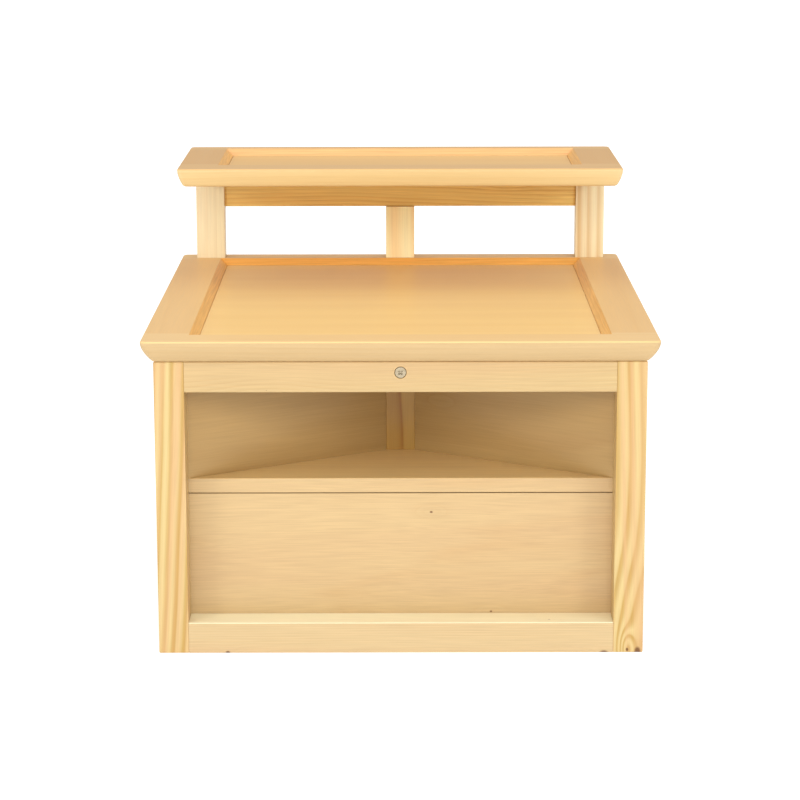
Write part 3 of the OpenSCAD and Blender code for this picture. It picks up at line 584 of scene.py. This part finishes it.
for side, finish in (("left", LEFT_LEG), ("right", RIGHT_LEG)):
    for end in ("front", "rear"):
        board(f"{end}_{side}_leg", "z", finish, radius=1.2, ease=1.6)
    board(f"{side}_top_rail", "y", CROSS_RAIL)
    board(f"{side}_bottom_rail", "y", CROSS_RAIL)
    board(f"{side}_side_panel", "y", SIDE_PANEL)
    board(f"{side}_floor_cleat", "y", CROSS_RAIL)
# each post: its front face in its painted light finish, its sides and back in POST_SIDES
for node, finish in (("left_post", PLAIN_POST_PAINTED_LIGHT), ("right_post", STRIPED_POST_PAINTED_LIGHT),
                     ("centre_post", CENTRE_POST_PAINTED_LIGHT)):
    post = board(node, "z", finish, radius=1.2)
    second_finish(post, POST_SIDES, "y", -0.5, 2)

# the top rails, each bored for its cam; the bottom rails, their upper faces painted paler as
# painted light from above
for node, outward in (("front", -1), ("rear", 1)):
    low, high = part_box(f"{node}_cam")
    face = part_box(f"{node}_top_rail")[0 if outward < 0 else 1].y
    centre = ((low.x + high.x) / 2, face, (low.z + high.z) / 2)
    hole = (high.x - low.x) / 2 + 0.45 * MM
    board(f"{node}_top_rail", "x", TOP_RAIL, radius=2.4,
          bores=[(centre, (0, -outward, 0), hole, high.y - low.y + 0.7 * MM)])
    rail = board(f"{node}_bottom_rail", "x", BOTTOM_RAIL, radius=1.6)
    second_finish(rail, RAIL_TOP_PAINTED_LIGHT, "z", 0.3, 2)
board("rear_floor_cleat", "x", TOP_RAIL)

board("back_panel", "x", INNER)
low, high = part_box("lower_front_panel")
board("lower_front_panel", "z", FACE_PANEL,
      corners=[(-rail_in, low.y), (rail_in, low.y), (rail_in, high.y), (-rail_in, high.y)])
low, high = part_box("niche_floor")
floor_board = board("niche_floor", "z", NICHE_FLOOR, ease=1.2, corners=[
    (low.x, low.y), (high.x, low.y), (high.x, rear_in), (leg_in, rear_in), (leg_in, high.y),
    (-leg_in, high.y), (-leg_in, rear_in), (low.x, rear_in)])
second_finish(floor_board, FACE_PANEL, "z", -2, 0.3)
low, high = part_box("bottom_board")
board("bottom_board", "z", INNER, corners=[
    (-leg_in, low.y), (leg_in, low.y), (leg_in, leg_back), (high.x, leg_back),
    (high.x, rear_in), (leg_in, rear_in), (leg_in, high.y), (-leg_in, high.y),
    (-leg_in, rear_in), (low.x, rear_in), (low.x, leg_back), (-leg_in, leg_back)])

# the niche: each wall runs from a leg's inner corner to the corner post, and the walls carry
# painted shade
post_low, post_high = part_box("niche_corner_post")
wall_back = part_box("niche_right_wall")[1].y
slope = (post_low.y - leg_back) / (leg_in - post_high.x)
plan = [(leg_in, leg_back), (rail_in, leg_back),
        (rail_in, wall_back - (rail_in - post_high.x) * slope),
        (post_high.x, wall_back), (post_high.x, post_low.y)]
board("niche_right_wall", "z", RIGHT_WALL_PAINTED_SHADE, radius=0.4, corners=plan)
board("niche_left_wall", "z", LEFT_WALL_PAINTED_SHADE, radius=0.4, corners=mirrored(plan))
# the corner post carries painted shade
board("niche_corner_post", "z", CORNER_POST_PAINTED_SHADE, radius=0.8)

# the apron's front carries painted light, and its other faces take the top rails' finish
apron = board("shelf_apron", "x", APRON_PAINTED_LIGHT, radius=1.2)
second_finish(apron, TOP_RAIL, "y", -0.5, 2)

TRAY_DEPTH = 10 * MM      # depth of both trays, and width of their bevels
TRAY_LIP = 1.5 * MM       # height of a tray panel's field above its tongue
TRAY_GAP = 0.8 * MM       # gap round that field


def tray(part, corner_r, undercut, rails, face, stiles, field, rail_bevel,
         stile_bevel):
    """A tray's two rails, two stiles and panel. The rails take in the corners, and the stiles
    stand between them."""
    front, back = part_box(f"{part}_front_rail"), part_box(f"{part}_back_rail")
    stile_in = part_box(f"{part}_right_stile")[0].x
    low, high = front[0], back[1]
    side = high.x - stile_in - TRAY_DEPTH
    for node, facing, (near, far) in (("front", -1, front), ("back", 1, back)):
        cut = facing * (far.y if facing < 0 else near.y)
        levels = tray_levels(high.z - low.z, undercut, corner_r, side,
                             far.y - near.y - TRAY_DEPTH, TRAY_DEPTH)
        shape = tray_rail(low, high, facing, levels, cut)
        piece = closed_piece(f"wood_{part}_{node}_rail", *shape)
        dress(piece, f"{part}_{node}_rail", rails)
        second_finish(piece, face, "z", -0.9, 0.3)
        second_finish(piece, rail_bevel, "z", 0.5, 0.9, high.z - 0.3 * TRAY_DEPTH)
    for node, way in (("left", -1), ("right", 1)):
        shape = tray_stile(low, high, way, levels, front[1].y, back[0].y)
        piece = closed_piece(f"wood_{part}_{node}_stile", *shape)
        dress(piece, f"{part}_{node}_stile", stiles)
        second_finish(piece, stile_bevel, "z", 0.5, 0.9, high.z - 0.3 * TRAY_DEPTH)
    # the panel: a tongue in the frame's grooves, and a raised field a hair smaller than the tray
    tongue_low, tongue_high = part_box(f"{part}_panel")
    foot_low = np.array([-stile_in + TRAY_GAP, front[1].y + TRAY_GAP])
    foot_high = np.array([stile_in - TRAY_GAP, back[0].y - TRAY_GAP])
    soft = 0.3 * MM
    top = tongue_high.z
    raised = [(foot_low, foot_high, top - TRAY_LIP), (foot_low, foot_high, top - soft),
             (foot_low + 0.3 * soft, foot_high - 0.3 * soft, top - 0.3 * soft),
             (foot_low + soft, foot_high - soft, top)]
    tongue = [(tongue_low, tongue_high, z) for z in (tongue_low.z, top - TRAY_LIP)]
    panel = closed_piece(f"wood_{part}_panel", *stepped(tongue + raised))
    dress(panel, f"{part}_panel", field)


tray("worktop", 9 * MM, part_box("worktop_front_rail")[1].x - leg_high.x,
     TOP_RAILS, FRONT_FACE, TOP_STILES, TOP_PANEL, RAIL_BEVEL, STILE_BEVEL)
tray("shelf", 8 * MM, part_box("shelf_front_rail")[1].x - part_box("right_post")[1].x,
     SHELF_RAILS, SHELF_FACE, SHELF_STILES, SHELF_PANEL, SHELF_BEVEL, STILE_BEVEL)

for part, outward in (("front", -1), ("rear", 1)):
    low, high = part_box(f"{part}_cam")
    centre = ((low.x + high.x) / 2, low.y if outward < 0 else high.y, (low.z + high.z) / 2)
    disc = closed_piece(f"{part}_cam_disc_detail",
                        *cam_disc(centre, (high.x - low.x) / 2, high.y - low.y, outward))
    dress(disc, f"{part}_cam", ZINC_PAINTED_REFLECTION, body=f"{part}_cam_disc")

for node, finish in (("dowels", DOWEL), ("screws", STEEL), ("bolt", STEEL), ("bearer", CROSS_RAIL)):
    for name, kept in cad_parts.items():
        if name.endswith(node):
            kept.data.materials.clear()
            kept.data.materials.append(finish)

# ---- floor, light and camera ----

bpy.ops.mesh.primitive_plane_add(size=80)
floor = bpy.context.object
floor.name = "floor"
paper, _, _, shader = new_finish("White paper floor")
shader.inputs["Base Color"].default_value = shade("#f7f7f7")
shader.inputs["Roughness"].default_value = 0.9
shader.inputs["Emission Color"].default_value = shade("#ffffff")
shader.inputs["Emission Strength"].default_value = 0.3
floor.data.materials.append(paper)

BRIGHTEST = (0, -0.3, 0.95)            # the way to the brightest part of the room

scene = bpy.context.scene
world = bpy.data.worlds.new("White studio")
scene.world = world
world.use_nodes = True
tree = world.node_tree
tree.nodes.clear()
seen = put(tree, "LightPath").outputs["Is Camera Ray"]
# a room that is bright overhead and in front and dim behind, round a white backdrop
facing = put(tree, "VectorMath", {0: put(tree, "TexCoord").outputs["Generated"],
                                  1: BRIGHTEST}, operation="DOT_PRODUCT").outputs["Value"]
room = put(tree, "MapRange", {"Value": facing, "From Min": -0.5, "To Min": 0.12,
                              "To Max": 1.3}).outputs[0]
level = put(tree, "Mix", {0: seen, 2: room, 3: 1.0}).outputs[0]
sky = put(tree, "Background", {"Color": (1, 1, 1, 1), "Strength": level})
put(tree, "OutputWorld", {"Surface": sky.outputs[0]})


def softbox(name, place, aim, size, watts):
    """A square white area light at a place, turned to face a point."""
    light = bpy.data.lights.new(name, "AREA")
    light.size = size
    light.energy = watts
    lamp = bpy.data.objects.new(name, light)
    scene.collection.objects.link(lamp)
    lamp.visible_glossy = False        # no white patch on the lacquer, from any side
    lamp.location = place
    lamp.rotation_euler = (Vector(place) - Vector(aim)).to_track_quat("Z", "Y").to_euler()


softbox("left_softbox", (-2.6, -2.8, 1.7), (0, 0, 0.25), 0.9, 26)
softbox("right_softbox", (2.6, -2.8, 1.7), (0, 0, 0.25), 0.9, 26)
softbox("front_softbox", (0, -3.9, 1.9), (0, 0, 0.4), 1.8, 50)

LENS, SENSOR = 117, 36                  # mm
CAMERA_PLACE = (-0.0007, -3.678, 1.075)
CAMERA_PITCH, CAMERA_ROLL = 12.32, -0.1     # degrees below level, and about its own axis

camera = bpy.data.objects.new("camera", bpy.data.cameras.new("camera"))
scene.collection.objects.link(camera)
camera.data.lens, camera.data.sensor_width = LENS, SENSOR
camera.location = CAMERA_PLACE
tilt, roll = math.radians(90 - CAMERA_PITCH), math.radians(CAMERA_ROLL)
camera.rotation_euler = (Matrix.Rotation(tilt, 3, "X") @ Matrix.Rotation(roll, 3, "Z")).to_euler()
scene.camera = camera
scene.view_settings.view_transform = "Standard"
